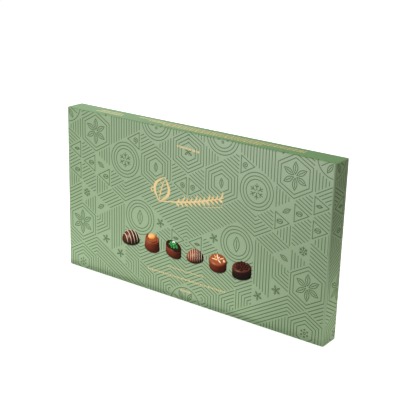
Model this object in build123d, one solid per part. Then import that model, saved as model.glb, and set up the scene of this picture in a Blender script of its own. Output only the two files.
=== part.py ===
"""Flat gift box of filled chocolates: full-depth lid, base, pad, two formed trays and the chocolates.

The box stands on its long lower edge. X runs along the width, Y from the front panel to the
back panel, Z up. The origin is the middle of the lower edge. All sizes are in millimetres.
"""

import os
from math import cos, pi, radians, sin, sqrt, tan

from build123d import *

# Outside of the closed box. Its depth follows from the stack of things inside, further down.
box_width = 335.4
box_height = 186.0

# Folded board of the lid and the base
board = 0.6
end_fold_radius = 2.0
long_crease_radius = 0.8
tab_length = 18.0
tab_relief = 2.2
tab_slope_angle = 15.0

# Clearances and overruns
slide_gap = 0.3
seat_gap = 0.1
cut_overrun = 5.0

# Corrugated paper pad over the chocolates
pad_thickness = 2.0
pad_margin = 1.6
pad_corner_radius = 3.0

# Two trays, thermoformed from thin sheet
tray_sheet = 0.5
tray_depth = 9.0
tray_lip = 2.0
tray_corner_radius = 5.0
tray_between_gap = 0.6
skirt_draft = 6.0
well_gap = 0.9
well_draft = 9.0
columns_per_tray = 3
trays = 2
rows = 4

# Dark half ball with piped stripes
ball_radius = 15.0
ball_height = 15.0
ball_skirt = 2.0
stripe_height = 0.9
stripe_width = 1.9
stripe_pitch = 4.8
stripe_count = 5
stripe_turn = 20.0

# Milk cup with a hazelnut half
cup_radius = 13.5
cup_height = 14.0
cup_draft = 5.0
cup_edge_radius = 1.5
nut_radius = 6.0
nut_height = 5.5

# Dark oval with green crumbs
oval_length = 31.0
oval_width = 25.0
oval_height = 14.5
oval_edge_radius = 5.5
crumb_size = 2.0
crumb_height = 1.4
crumb_count = 9

# Milk half ball with fine lines
low_ball_radius = 14.5
low_ball_height = 14.0
line_height = 0.6
line_width = 0.9
line_pitch = 2.6
line_count = 9
line_turn = -35.0

# Milk pillow with pale flakes
pillow_length = 30.0
pillow_width = 26.0
pillow_height = 13.0
pillow_edge_radius = 5.0
flake_length = 4.2
flake_width = 2.0
flake_height = 0.7
flake_count = 7

# Dark barrel with a rough crust
barrel_radius = 14.0
barrel_height = 14.5
barrel_edge_radius = 3.0
crust_height = 1.3
crust_inset = 3.4
crust_chamfer = 0.6
crust_wave_share = 0.07
crust_corners = 14

# The tallest chocolate sets how deep the box is
tallest = max(
    ball_height + stripe_height,
    cup_height + nut_height,
    oval_height + crumb_height,
    low_ball_height + line_height,
    pillow_height + flake_height,
    barrel_height + crust_height,
)
box_depth = board + seat_gap + tray_sheet + seat_gap + tallest + slide_gap + pad_thickness + slide_gap + board

# Faces from the front of the box to its back
front = -box_depth / 2
back = box_depth / 2
lid_inner = front + board
base_inner = back - board
tray_floor = base_inner - seat_gap
flange = tray_floor - tray_depth
seat = tray_floor - tray_sheet - seat_gap
middle = box_height / 2

# The base goes into the lid past the lid's corner tabs, and the trays into the base past its own.
# What lies by an end wall stays clear of the round inside of that wall's fold.
fold_room = max(end_fold_radius - board, board / 4) + slide_gap
base_rim = lid_inner + fold_room
base_width = box_width - 2 * (board + slide_gap)
base_height = box_height - 2 * (2 * board + slide_gap)
room_width = base_width - 2 * (board + fold_room)
room_height = base_height - 2 * (2 * board + slide_gap)
tray_width = (room_width - (trays - 1) * tray_between_gap) / trays
tray_height = room_height
column_pitch = (tray_width - 2 * tray_lip) / columns_per_tray
row_pitch = (tray_height - 2 * tray_lip) / rows
columns = trays * columns_per_tray


def across(sketch, y):
    """Stands a flat sketch up at depth y, with its normal towards the front."""
    return Plane(origin=(0, y, 0), x_dir=(1, 0, 0), z_dir=(0, -1, 0)) * sketch


def folded_block(width, height, y_low, y_high, panel_side, end_radius, long_radius):
    """A block whose edges round the panel are rounded, softly at the ends and crisply along."""
    depth = y_high - y_low
    y_middle = (y_low + y_high) / 2
    plan = Rectangle(width, depth)
    plan = fillet(plan.vertices().group_by(Axis.Y)[panel_side], end_radius)
    plan = Pos(0, y_middle, middle - height / 2) * extrude(plan, height)
    side = Plane.YZ * Rectangle(depth, height)
    side = fillet(side.vertices().group_by(Axis.Y)[panel_side], long_radius)
    side = Pos(-width / 2 - cut_overrun, y_middle, middle) * extrude(side, width + 2 * cut_overrun)
    return plan & side


def corner_tabs(width, height, y_low, y_high):
    """The four glue tabs that turn in from the end walls and lie against the long walls."""
    x_root = width / 2
    slope = tab_length * tan(radians(tab_slope_angle))
    outline = make_face(
        Polyline(
            (x_root + board / 2, y_low),
            (x_root, y_low),
            (x_root - tab_length, y_low + slope),
            (x_root - tab_length, y_high - slope),
            (x_root, y_high),
            (x_root + board / 2, y_high),
            close=True,
        )
    )
    tab = Pos(0, 0, middle + height / 2 - board) * extrude(outline, board * 3 / 2)
    upper = [tab, mirror(tab, Plane.YZ)]
    lower = [mirror(piece, Plane.XY.offset(middle)) for piece in upper]
    return upper + lower


def folded_tray(width, height, y_low, y_high, panel_side):
    """A shallow tray folded from one sheet of board, with its panel on one side and glued corners."""
    inner_width = width - 2 * board
    inner_height = height - 2 * board
    at_front = panel_side == 0
    hollow_low = y_low + board if at_front else y_low - cut_overrun
    hollow_high = y_high + cut_overrun if at_front else y_high - board
    shell = folded_block(width, height, y_low, y_high, panel_side, end_fold_radius, long_crease_radius)
    shell -= folded_block(
        inner_width,
        inner_height,
        hollow_low,
        hollow_high,
        panel_side,
        max(end_fold_radius - board, board / 4),
        max(long_crease_radius - board, board / 4),
    )
    tab_low = y_low + tab_relief if at_front else y_low + board
    tab_high = y_high - board if at_front else y_high - tab_relief
    for tab in corner_tabs(inner_width, inner_height, tab_low, tab_high):
        shell += tab
    return shell


def pad():
    """The loose sheet that lies over the chocolates."""
    sheet = Rectangle(room_width - 2 * pad_margin, room_height - 2 * pad_margin)
    sheet = fillet(sheet.vertices(), pad_corner_radius)
    return Pos(0, 0, middle) * extrude(across(sheet, lid_inner + slide_gap + pad_thickness), pad_thickness)


def chocolate_x(column):
    """Middle of a column of chocolates."""
    tray_number = column // columns_per_tray
    in_tray = column % columns_per_tray - (columns_per_tray - 1) / 2
    return tray_x(tray_number) + in_tray * column_pitch


def tray_x(tray_number):
    """Middle of a tray."""
    return (tray_number - (trays - 1) / 2) * (tray_width + tray_between_gap)


def chocolate_z(row):
    """Middle of a row of chocolates, counted from the top."""
    return middle + ((rows - 1) / 2 - row) * row_pitch


def kind_at(row, column):
    """Each row holds every kind once, two places further on than in the row above."""
    order = list(KINDS)
    return order[(column + 2 * row) % len(order)]


def well(length, width, grow):
    """The tapered inside of one well, or its outside when it is grown by the sheet."""
    flare = tray_depth * tan(radians(well_draft))
    low = Ellipse(length / 2 + well_gap + grow, width / 2 + well_gap + grow)
    high = Ellipse(length / 2 + well_gap + grow + flare, width / 2 + well_gap + grow + flare)
    depth = tray_depth if grow else tray_depth - tray_sheet
    floor_y = flange + depth
    return loft([across(low, floor_y), across(high, flange)])


def tray(tray_number):
    """One formed tray: a flange on a drafted skirt with a lip, and a well for every chocolate."""
    x = tray_x(tray_number)
    draft_in = tray_depth * tan(radians(skirt_draft))
    lip = fillet(Rectangle(tray_width, tray_height).vertices(), tray_corner_radius)
    lip_plate = extrude(across(lip, tray_floor), tray_sheet)

    def block(inset, depth):
        foot = Rectangle(tray_width - 2 * (tray_lip + inset), tray_height - 2 * (tray_lip + inset))
        foot = fillet(foot.vertices(), tray_corner_radius)
        head = Rectangle(
            tray_width - 2 * (tray_lip + inset + draft_in), tray_height - 2 * (tray_lip + inset + draft_in)
        )
        head = fillet(head.vertices(), tray_corner_radius)
        return loft([across(foot, tray_floor), across(head, tray_floor - depth)])

    shell = Pos(x, 0, middle) * (lip_plate + block(0, tray_depth) - block(tray_sheet, tray_depth - tray_sheet))
    first = tray_number * columns_per_tray
    places = [(row, first + column) for row in range(rows) for column in range(columns_per_tray)]
    for row, column in places:
        length, width = KINDS[kind_at(row, column)][0]
        spot = Pos(chocolate_x(column), 0, chocolate_z(row))
        shell += spot * well(length, width, tray_sheet)
        shell -= spot * well(length, width, 0)
    return shell


def ball_size(radius, height, skirt):
    """Radius of the ball whose cap rises from the skirt's rim to the given height."""
    rise = height - skirt
    return (radius**2 + rise**2) / (2 * rise)


def half_ball(radius, height, skirt):
    """A ball cap on a short straight skirt."""
    ball = ball_size(radius, height, skirt)
    side = Cylinder(radius, height, align=(Align.CENTER, Align.CENTER, Align.MIN))
    return side & Pos(0, 0, height - ball) * Sphere(ball)


def piped_stripes(radius, height, skirt, thickness, width, pitch, count, turn):
    """Straight stripes across a half ball, each following its surface down to the skirt."""
    ball = ball_size(radius, height, skirt)
    skin = Pos(0, 0, height - ball) * (Sphere(ball + thickness) - Sphere(ball))
    reach = 2 * (radius + thickness + cut_overrun)
    bar = Box(reach, width, height + cut_overrun, align=(Align.CENTER, Align.CENTER, Align.MIN))
    stripes = []
    for number in range(count):
        offset = (number - (count - 1) / 2) * pitch
        stripes += (skin & Rot(0, 0, turn) * Pos(0, offset, skirt) * bar).solids()
    return stripes


def dark_ball():
    return half_ball(ball_radius, ball_height, ball_skirt)


def ball_stripes():
    return piped_stripes(
        ball_radius, ball_height, ball_skirt, stripe_height, stripe_width, stripe_pitch, stripe_count, stripe_turn
    )


def milk_ball():
    return half_ball(low_ball_radius, low_ball_height, ball_skirt)


def ball_lines():
    return piped_stripes(
        low_ball_radius, low_ball_height, ball_skirt, line_height, line_width, line_pitch, line_count, line_turn
    )


def milk_cup():
    """A drafted cup with a softened top edge."""
    top_radius = cup_radius - cup_height * tan(radians(cup_draft))
    body = Cone(cup_radius, top_radius, cup_height, align=(Align.CENTER, Align.CENTER, Align.MIN))
    return fillet(body.edges().group_by(Axis.Z)[-1], cup_edge_radius)


def hazelnut_half():
    """The rounded half of a nut, cut flat where it is pressed on."""
    drop = (nut_radius**2 - nut_height**2) / (2 * nut_height)
    ball = sqrt(nut_radius**2 + drop**2)
    nut = Pos(0, 0, cup_height - drop) * Sphere(ball)
    above = Box(4 * nut_radius, 4 * nut_radius, 4 * nut_radius, align=(Align.CENTER, Align.CENTER, Align.MIN))
    return [nut & Pos(0, 0, cup_height) * above]


def rounded_oval(length, width, height, edge_radius):
    """An upright oval with a generously rounded top edge."""
    body = extrude(Ellipse(length / 2, width / 2), height)
    return fillet(body.edges().group_by(Axis.Z)[-1], edge_radius)


def scattered(count, length, width, turn_step):
    """Places on a sunflower spiral inside an ellipse, each with its own turn."""
    golden_angle = pi * (3 - sqrt(5))
    for number in range(count):
        out = sqrt((number + 1 / 2) / count)
        angle = number * golden_angle
        yield Pos(out * cos(angle) * length / 2, out * sin(angle) * width / 2) * Rot(0, 0, number * turn_step)


def dark_oval():
    return rounded_oval(oval_length, oval_width, oval_height, oval_edge_radius)


def oval_crumbs():
    """Broken nut crumbs on the flat middle of the oval."""
    crumb = Cone(crumb_size / 2, crumb_size / 4, crumb_height, align=(Align.CENTER, Align.CENTER, Align.MIN))
    room_length = oval_length - 2 * oval_edge_radius - crumb_size
    room_across = oval_width - 2 * oval_edge_radius - crumb_size
    spots = scattered(crumb_count, room_length, room_across, 0)
    return [Pos(0, 0, oval_height) * spot * crumb for spot in spots]


def milk_pillow():
    return rounded_oval(pillow_length, pillow_width, pillow_height, pillow_edge_radius)


def pillow_flakes():
    """Thin flakes lying on the flat middle of the pillow."""
    flake = extrude(Ellipse(flake_length / 2, flake_width / 2), flake_height)
    room_length = pillow_length - 2 * pillow_edge_radius - flake_length
    room_across = pillow_width - 2 * pillow_edge_radius - flake_width
    turn_step = 67.0
    spots = scattered(flake_count, room_length, room_across, turn_step)
    return [Pos(0, 0, pillow_height) * spot * flake for spot in spots]


def dark_barrel():
    """A straight round chocolate with a rounded top edge."""
    body = Cylinder(barrel_radius, barrel_height, align=(Align.CENTER, Align.CENTER, Align.MIN))
    return fillet(body.edges().group_by(Axis.Z)[-1], barrel_edge_radius)


def barrel_crust():
    """An uneven disc of crushed cocoa nibs on the flat top of the barrel."""
    rim = barrel_radius - crust_inset
    corners = []
    for number in range(crust_corners):
        angle = 2 * pi * number / crust_corners
        reach = rim * (1 - crust_wave_share + crust_wave_share * sin(5 * angle))
        corners.append((reach * cos(angle), reach * sin(angle)))
    disc = extrude(make_face(Polyline(*corners, close=True)), crust_height)
    disc = chamfer(disc.edges().group_by(Axis.Z)[-1], crust_chamfer)
    return [Pos(0, 0, barrel_height) * disc]


# Each kind: its size across the seat, its body and its topping
KINDS = {
    "dark_ball": ((2 * ball_radius, 2 * ball_radius), dark_ball, "ball_stripes", ball_stripes),
    "milk_cup": ((2 * cup_radius, 2 * cup_radius), milk_cup, "hazelnut_half", hazelnut_half),
    "dark_oval": ((oval_length, oval_width), dark_oval, "oval_crumbs", oval_crumbs),
    "milk_ball": ((2 * low_ball_radius, 2 * low_ball_radius), milk_ball, "ball_lines", ball_lines),
    "milk_pillow": ((pillow_length, pillow_width), milk_pillow, "pillow_flakes", pillow_flakes),
    "dark_barrel": ((2 * barrel_radius, 2 * barrel_radius), dark_barrel, "barrel_crust", barrel_crust),
}


def save(name, shape):
    export_step(shape, f"parts/{name}.step")


os.makedirs("parts", exist_ok=True)

save("lid", folded_tray(box_width, box_height, front, back, 0))
save("base", folded_tray(base_width, base_height, base_rim, back, -1))
save("corrugated_pad", pad())
for tray_number in range(trays):
    save(f"tray_{tray_number + 1}", tray(tray_number))

# Every chocolate stands in its well with its top towards the front panel
toppings = {name: Compound(children=make()) for _, _, name, make in KINDS.values()}
bodies = {name: make() for name, (_, make, _, _) in KINDS.items()}
for row in range(rows):
    for column in range(columns):
        kind = kind_at(row, column)
        topping = KINDS[kind][2]
        spot = Pos(chocolate_x(column), seat, chocolate_z(row)) * Rot(90, 0, 0)
        save(f"{kind}_{row + 1}", spot * bodies[kind])
        save(f"{topping}_{row + 1}", spot * toppings[topping])

print("closed box", box_width, round(box_depth, 3), box_height)
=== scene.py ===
# %% [markdown]
# # A slim gift box of chocolates
# The box is folded from printed board: a lid as deep as the box, a base that slides into it, a
# corrugated pad, two formed trays and twenty-four chocolates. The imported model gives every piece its
# place and motion. This script gives each one its finished shape and surface, one step at a time.

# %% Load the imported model
import cmath
import random
from math import asin, cos, pi, radians, sin, sqrt

import bmesh
import bpy
from mathutils import Matrix, Vector, noise


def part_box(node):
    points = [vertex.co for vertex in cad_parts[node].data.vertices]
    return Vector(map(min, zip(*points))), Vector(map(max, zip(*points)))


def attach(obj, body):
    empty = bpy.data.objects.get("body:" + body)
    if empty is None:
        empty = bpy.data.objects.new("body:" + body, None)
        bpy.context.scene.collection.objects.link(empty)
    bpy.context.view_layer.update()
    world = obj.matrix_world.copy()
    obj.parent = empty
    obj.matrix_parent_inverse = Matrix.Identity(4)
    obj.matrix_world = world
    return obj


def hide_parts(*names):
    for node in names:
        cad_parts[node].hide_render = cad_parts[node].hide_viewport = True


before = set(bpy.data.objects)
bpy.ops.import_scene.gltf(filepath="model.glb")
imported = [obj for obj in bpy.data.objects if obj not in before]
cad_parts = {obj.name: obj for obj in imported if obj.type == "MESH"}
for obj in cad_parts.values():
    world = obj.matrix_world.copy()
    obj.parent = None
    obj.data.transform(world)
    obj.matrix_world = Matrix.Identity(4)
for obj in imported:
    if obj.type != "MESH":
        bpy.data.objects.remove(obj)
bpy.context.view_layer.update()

# %% [markdown]
# Every length below is a real one, in millimetres, turned to metres by one factor. The closed lid
# is the outside of the box, so its solid gives the size that the folds and the print follow.

# %% Sizes taken from the frame
MM = 0.001
NEAR = 0.01 * MM
WELD = 0.001 * MM
lid_low, lid_high = (Vector(corner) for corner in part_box("lid"))
HEIGHT = lid_high.z - lid_low.z
MIDDLE = (lid_high.z + lid_low.z) / 2
BACK = lid_high.y

# Ink and foil lie on the board, and the board lies this far inside the solid so that they fit
PRINT_ROOM = 0.08 * MM
HALF_WIDTH = (lid_high.x - lid_low.x) / 2 - PRINT_ROOM
HALF_HEIGHT = HEIGHT / 2 - PRINT_ROOM
FRONT = lid_low.y + PRINT_ROOM
board_size = (2 * HALF_WIDTH, BACK - FRONT, 2 * HALF_HEIGHT)
print("board of the lid, mm", [round(value / MM, 1) for value in board_size])

# %% [markdown]
# ## Camera
# The photo looks down a little on the box from its front right. Its direction, tilt, distance and
# lens come from a fit to the edges and corners of the box that show, in units of the box's height.
# The frame is square, 416 pixels a side. Blender keeps the data of a camera, a lamp or a mesh apart
# from the object that stands in the scene, so one small function makes the object and links it.


# %% Put a new thing in the scene
def placed(name, data):
    """A new object with this data, linked to the scene."""
    thing = bpy.data.objects.new(name, data)
    bpy.context.scene.collection.objects.link(thing)
    return thing


# %% Camera at the photo's place
CAMERA_AZIMUTH = radians(35.25)
CAMERA_ELEVATION = radians(19.0)
CAMERA_ROLL = radians(1.72)
CAMERA_DISTANCE = 5.162 * HEIGHT
CAMERA_TARGET = Vector((0.142 * HEIGHT, lid_low.y, 0.6 * HEIGHT))
FRAME_PIXELS = 416
FOCAL_PIXELS = 947.0
SENSOR = 36.0

level = cos(CAMERA_ELEVATION)
away = Vector((sin(CAMERA_AZIMUTH) * level, -cos(CAMERA_AZIMUTH) * level, sin(CAMERA_ELEVATION)))
level_right = Vector((cos(CAMERA_AZIMUTH), sin(CAMERA_AZIMUTH), 0))
camera_right = cos(CAMERA_ROLL) * level_right + sin(CAMERA_ROLL) * away.cross(level_right)
camera_up = away.cross(camera_right)
camera_place = CAMERA_TARGET + away * CAMERA_DISTANCE

camera_data = bpy.data.cameras.new("camera")
camera_data.sensor_width = SENSOR
camera_data.lens = FOCAL_PIXELS * SENSOR / FRAME_PIXELS
camera = placed("camera", camera_data)
camera_turn = Matrix((camera_right, camera_up, away)).transposed().to_4x4()
camera.matrix_world = Matrix.Translation(camera_place) @ camera_turn
bpy.context.scene.camera = camera
bpy.context.scene.view_settings.view_transform = "Standard"
print("camera", [round(value, 3) for value in camera_place], "lens", round(camera_data.lens, 2))

# %% [markdown]
# ## Helpers for materials
# Colours are written as they look on a screen and turned to the linear values that the shader
# needs. One small function adds a node, sets its settings and sets or links its inputs.


# %% Colour and node helpers
def linear(code):
    """An sRGB hex colour as linear red, green, blue and alpha."""
    parts = [int(code[place : place + 2], 16) / 255 for place in (1, 3, 5)]
    return [part / 12.92 if part <= 0.04045 else ((part + 0.055) / 1.055) ** 2.4 for part in parts] + [1.0]


def add_node(tree, kind, inputs=(), **settings):
    """A node with its settings, and its inputs set to values or linked to sockets."""
    node = tree.nodes.new(kind)
    for name, value in settings.items():
        setattr(node, name, value)
    for name, value in dict(inputs).items():
        if isinstance(value, bpy.types.NodeSocket):
            tree.links.new(value, node.inputs[name])
        else:
            node.inputs[name].default_value = value
    return node


def new_material(name, roughness=0.5, ior=1.5):
    """A material, with its shader and the object coordinates that its patterns read."""
    material = bpy.data.materials.new(name)
    material.use_nodes = True
    tree = material.node_tree
    shader = tree.nodes["Principled BSDF"]
    shader.inputs["Roughness"].default_value = roughness
    shader.inputs["IOR"].default_value = ior
    return material, tree, shader, add_node(tree, "ShaderNodeTexCoord").outputs["Object"]


# %% [markdown]
# Nearly every finish here is one colour that drifts in soft patches, with a fine bump, so one
# function makes them. The patches come from noise, stretched to run from a lowest to a highest share.

# %% Soft patches and grain
# Most of Blender's noise lies in this range
NOISE_LOW, NOISE_HIGH = 0.3, 0.7


def mottle(tree, place, size, low, high, detail=2.0):
    """Soft noise with patches of a given size, running from low to high."""
    patches = add_node(tree, "ShaderNodeTexNoise", {"Vector": place, "Scale": 1 / size, "Detail": detail})
    spread = {"Value": patches.outputs["Fac"], "From Min": NOISE_LOW, "From Max": NOISE_HIGH}
    return add_node(tree, "ShaderNodeMapRange", {**spread, "To Min": low, "To Max": high}).outputs["Result"]


def shaded(tree, colour, *factors):
    """A colour made lighter or darker by factor sockets, one after the other."""
    for factor in factors:
        grey = add_node(tree, "ShaderNodeCombineColor", {"Red": factor, "Green": factor, "Blue": factor})
        blend = {"Factor": 1.0, "A": colour, "B": grey.outputs["Color"]}
        mix = add_node(tree, "ShaderNodeMix", blend, data_type="RGBA", blend_type="MULTIPLY")
        colour = mix.outputs["Result"]
    return colour


def mottled_finish(name, colour, roughness, ior, tones, grain, **shares):
    """One colour, mottled by tones and broken up by grain.

    A tone is patch size, lowest and highest share and detail. Grain is patch size, detail and depth.
    """
    material, tree, shader, place = new_material(name, roughness, ior)
    drifts = [mottle(tree, place, *tone) for tone in tones]
    tree.links.new(shaded(tree, linear(colour), *drifts), shader.inputs["Base Color"])
    size, detail, depth = grain
    height = mottle(tree, place, size, 0, 1, detail)
    bump = add_node(tree, "ShaderNodeBump", {"Height": height, "Distance": depth})
    tree.links.new(bump.outputs["Normal"], shader.inputs["Normal"])
    for share, value in shares.items():
        shader.inputs[share.replace("_", " ").title()].default_value = value
    return material


# %% [markdown]
# ## Printed board
# The outside is folding boxboard: paper fibres under a coat of clay, printed in matte ink. The ink
# hides the fibres, but a faint unevenness stays. A flat colour would look like plastic, so the tone
# drifts by a few percent over centimetres and flickers over a millimetre, and a bump of a hundredth
# of a millimetre breaks up the sheen. The inside and the cut edges are bare, rougher board.


# %% Board finishes
PAPER_IOR = 1.45


def board_finish(name, colour, roughness, fibre=0.012, depth=0.01 * MM):
    """Coated or bare board in one tone, with fibres that show by a given share."""
    tones = ((60 * MM, 0.98, 1.02), (0.9 * MM, 1 - fibre, 1 + fibre, 4.0))
    return mottled_finish(name, colour, roughness, PAPER_IOR, tones, (0.6 * MM, 3.0, depth))


sage_print = board_finish("matte_sage_ink_on_boxboard", "#8BA17D", 0.42)
green_print = board_finish("matte_leaf_green_ink_on_boxboard", "#80B26C", 0.58)
moss_ink = board_finish("matte_moss_ink_lines", "#40602E", 0.5, 0.02)
bare_board = board_finish("bare_grey_boxboard", "#D5CFC1", 0.85, 0.05, 0.03 * MM)
cut_board = board_finish("cut_boxboard_edge", "#A9B79A", 0.85, 0.06, 0.03 * MM)
print("board finishes", [material.name for material in bpy.data.materials])

# %% [markdown]
# ## Floor and light
# The box stands on a plain white floor. The floor and the world are white where the camera sees
# them, and dimmer as lights, so that the printed colours aren't washed out. A soft lamp far in front
# lights the panel evenly. Two dim glowing cards lie on the floor before the box, the second weaker
# and to the right. They are what the ink's faint gloss mirrors, as in a studio with a white table: a
# pale sheen over the left and the middle of the panel, down to its foot. One lamp behind and one
# above give the upper side its gloss, which fades to the right. A warm lamp and a small one by its
# foot lift the darker end wall.

# %% Floor
FLOOR_SIZE = 12.0
FLOOR_GLOW = 0.8
bpy.ops.object.select_all(action="DESELECT")
bpy.ops.mesh.primitive_plane_add(size=FLOOR_SIZE, location=(0, 0, 0))
floor_plane = bpy.context.object
floor_plane.name = "floor"
floor_white, floor_tree, floor_shader, _ = new_material("white_studio_floor", 0.9)
floor_shader.inputs["Base Color"].default_value = linear("#E9E9E9")
floor_shader.inputs["Specular IOR Level"].default_value = 0.0
seen = add_node(floor_tree, "ShaderNodeLightPath")
glow = add_node(floor_tree, "ShaderNodeEmission", {"Color": linear("#FFFFFF"), "Strength": FLOOR_GLOW})
matte = floor_shader.outputs["BSDF"]
bright = add_node(floor_tree, "ShaderNodeAddShader", {0: matte, 1: glow.outputs["Emission"]})
choice = {"Fac": seen.outputs["Is Camera Ray"], 1: matte, 2: bright.outputs["Shader"]}
either = add_node(floor_tree, "ShaderNodeMixShader", choice)
floor_tree.links.new(either.outputs["Shader"], floor_tree.nodes["Material Output"].inputs["Surface"])
floor_plane.data.materials.append(floor_white)
print("floor", FLOOR_SIZE, "m wide")

# %% World
WORLD_LIGHT = 0.3
world = bpy.data.worlds.new("studio")
bpy.context.scene.world = world
world.use_nodes = True
sky = world.node_tree
world_seen = add_node(sky, "ShaderNodeLightPath")
seen_white = {"Value": world_seen.outputs["Is Camera Ray"], "To Min": WORLD_LIGHT, "To Max": 1.0}
strength = add_node(sky, "ShaderNodeMapRange", seen_white)
sky.links.new(strength.outputs["Result"], sky.nodes["Background"].inputs["Strength"])
sky.nodes["Background"].inputs["Color"].default_value = linear("#FFFFFF")
print("world lights the box with a strength of", WORLD_LIGHT)


# %% Lamps
def lamp(name, place, target, size, power, colour="#FFFFFF", height=None):
    """A lamp that the camera doesn't see, turned to a target, in metres and watts.

    It is square unless it has a height.
    """
    data = bpy.data.lights.new(name, "AREA")
    data.shape = "RECTANGLE"
    data.size = size
    data.size_y = height or size
    data.energy = power
    data.color = linear(colour)[:3]
    thing = placed(name, data)
    thing.location = place
    thing.rotation_euler = (Vector(target) - Vector(place)).to_track_quat("-Z", "Y").to_euler()
    thing.visible_camera = False


# The cards' depth, how far they lie before the box and how high
CARD_TALL, CARD_Y, CARD_Z = 0.25, -0.14, 0.004
# Straight up, but for a hair that settles which way the cards' width lies
LOOKING_UP = Vector((0, 0.0001, 1))
for name, middle, wide, power in (("floor_card", -0.08, 0.34, 0.204), ("side_card", 0.14, 0.1, 0.027)):
    card = Vector((middle, CARD_Y, CARD_Z))
    lamp(name, card, card + LOOKING_UP, wide, power, height=CARD_TALL)
lamp("front", (-0.45, -1.1, 0.12), (-0.05, 0, 0.06), 0.4, 10.0)
lamp("back_left", (-0.8, 0.6, 0.6), (-0.1, 0, HEIGHT), 0.5, 2.0)
lamp("over_top", (-0.3, 0.35, 0.8), (0, 0, HEIGHT), 0.4, 1.9)
lamp("right_fill", (0.8, 0.3, 0.3), (HALF_WIDTH, 0, MIDDLE), 0.3, 0.41, "#F4FF9C")
lamp("right_foot", (HALF_WIDTH + 0.08, 0, 0.03), (HALF_WIDTH, 0, 0.03), 0.03, 0.033)

# %% [markdown]
# ## Helpers for modelling
# Blender's operators act on what is selected, as by hand. So the first helpers let go of everything,
# open one object, start a new primitive, and pick edges or faces by a test on their place.


# %% Select and open
def let_go():
    """Leaves edit mode and selects nothing."""
    if bpy.context.object and bpy.context.object.mode != "OBJECT":
        bpy.ops.object.mode_set(mode="OBJECT")
    bpy.ops.object.select_all(action="DESELECT")


def open_up(thing, mode="EDIT"):
    """Makes a thing the only selected one and opens it in a mode."""
    let_go()
    thing.select_set(True)
    bpy.context.view_layer.objects.active = thing
    bpy.ops.object.mode_set(mode=mode)


def pick_all():
    """In edit mode, selects the whole mesh."""
    bpy.ops.mesh.select_all(action="SELECT")


def started(name, make, **settings):
    """A new primitive with its place in its mesh, open in edit mode and selected all over."""
    let_go()
    make(**settings)
    bpy.ops.object.transform_apply(location=True, rotation=True, scale=True)
    thing = bpy.context.object
    thing.name = name
    bpy.ops.object.mode_set(mode="EDIT")
    pick_all()
    return thing


def pick(thing, element, test):
    """In edit mode, selects only the points, edges or faces whose every corner passes a test."""
    bpy.ops.mesh.select_mode(type=element)
    bpy.ops.mesh.select_all(action="DESELECT")
    mesh = bmesh.from_edit_mesh(thing.data)
    for item in {"VERT": mesh.verts, "EDGE": mesh.edges, "FACE": mesh.faces}[element]:
        corners = [item] if element == "VERT" else item.verts
        item.select_set(all(test(corner.co) for corner in corners))
    bmesh.update_edit_mesh(thing.data)


# %% [markdown]
# The others change what is picked, or finish a mesh. All faces have to point outwards, because a
# face's light and the side on which Solidify adds thickness follow from the way that it points.


# %% Change and finish a mesh
def modify(thing, kind, **settings):
    """Adds a modifier and applies it at once."""
    open_up(thing, "OBJECT")
    modifier = thing.modifiers.new(kind.lower(), kind)
    for name, value in settings.items():
        setattr(modifier, name, value)
    bpy.ops.object.modifier_apply(modifier=modifier.name)


def same(value, goal):
    return abs(value - goal) < 2 * NEAR


def pull(vector):
    """Extrudes what is selected along a vector."""
    bpy.ops.mesh.extrude_region_move(TRANSFORM_OT_translate={"value": vector})


def cut_off(place, normal):
    """Removes what lies beyond a plane, of what is selected."""
    bpy.ops.mesh.bisect(plane_co=place, plane_no=normal, clear_outer=True)


def smooth(thing, degrees):
    """Shades a mesh smoothly, apart from edges that are sharper than an angle."""
    open_up(thing, "OBJECT")
    bpy.ops.object.shade_smooth_by_angle(angle=radians(degrees))


def face_out(thing, degrees=None):
    """Merges doubles and turns all faces outwards. With an angle it shades the mesh smoothly too."""
    open_up(thing)
    pick_all()
    bpy.ops.mesh.remove_doubles(threshold=WELD)
    bpy.ops.mesh.normals_make_consistent(inside=False)
    open_up(thing, "OBJECT")
    if degrees is not None:
        smooth(thing, degrees)


def turn_over(thing):
    """Flips every face of a mesh."""
    open_up(thing)
    pick_all()
    bpy.ops.mesh.flip_normals()
    open_up(thing, "OBJECT")


def dress(thing, *finishes):
    """Gives a mesh these finishes in place of any others."""
    thing.data.materials.clear()
    for finish in finishes:
        thing.data.materials.append(finish)


# %% [markdown]
# ## Folded board
# Lid and base are each one sheet: a panel with four walls turned back from it. A block with rounded
# edges would lack the inside, the cut edges and the tabs, so the sheet is folded as on the real one.
# The flat panel's edges are spun round the folds and drawn out into walls. The end walls turn on a
# soft fold and carry glue tabs that turn in behind the long walls. The long walls turn on a sharp
# crease and run past the panel to the corners. The sheet gets its thickness last.

# %% Sizes of the board
BOARD = 0.6 * MM
END_FOLD = 2.0 * MM
LONG_CREASE = 0.8 * MM
END_STEPS = 8
CREASE_STEPS = 5
TAB_FOLD = 0.65 * MM
TAB_GAP = 0.05 * MM
TAB_LENGTH = 18 * MM
TAB_TAPER = 0.62
TAB_STEPS = 4
CORNER_STEPS = 4
# The end walls' edges stand back from the long walls by the board, a gap and the tabs' fold
TAB_INSET = BOARD + TAB_GAP + TAB_FOLD
print("board", round(BOARD / MM, 2), "mm thick, tabs stand back by", round(TAB_INSET / MM, 2), "mm")


def fold_edge(thing, test, centre, axis, degrees, steps, wall):
    """Spins the edges that pass a test round a fold, and draws them out into a wall."""
    pick(thing, "EDGE", test)
    bpy.ops.mesh.spin(steps=steps, angle=-radians(degrees), center=centre, axis=axis)
    pull(wall)


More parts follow.
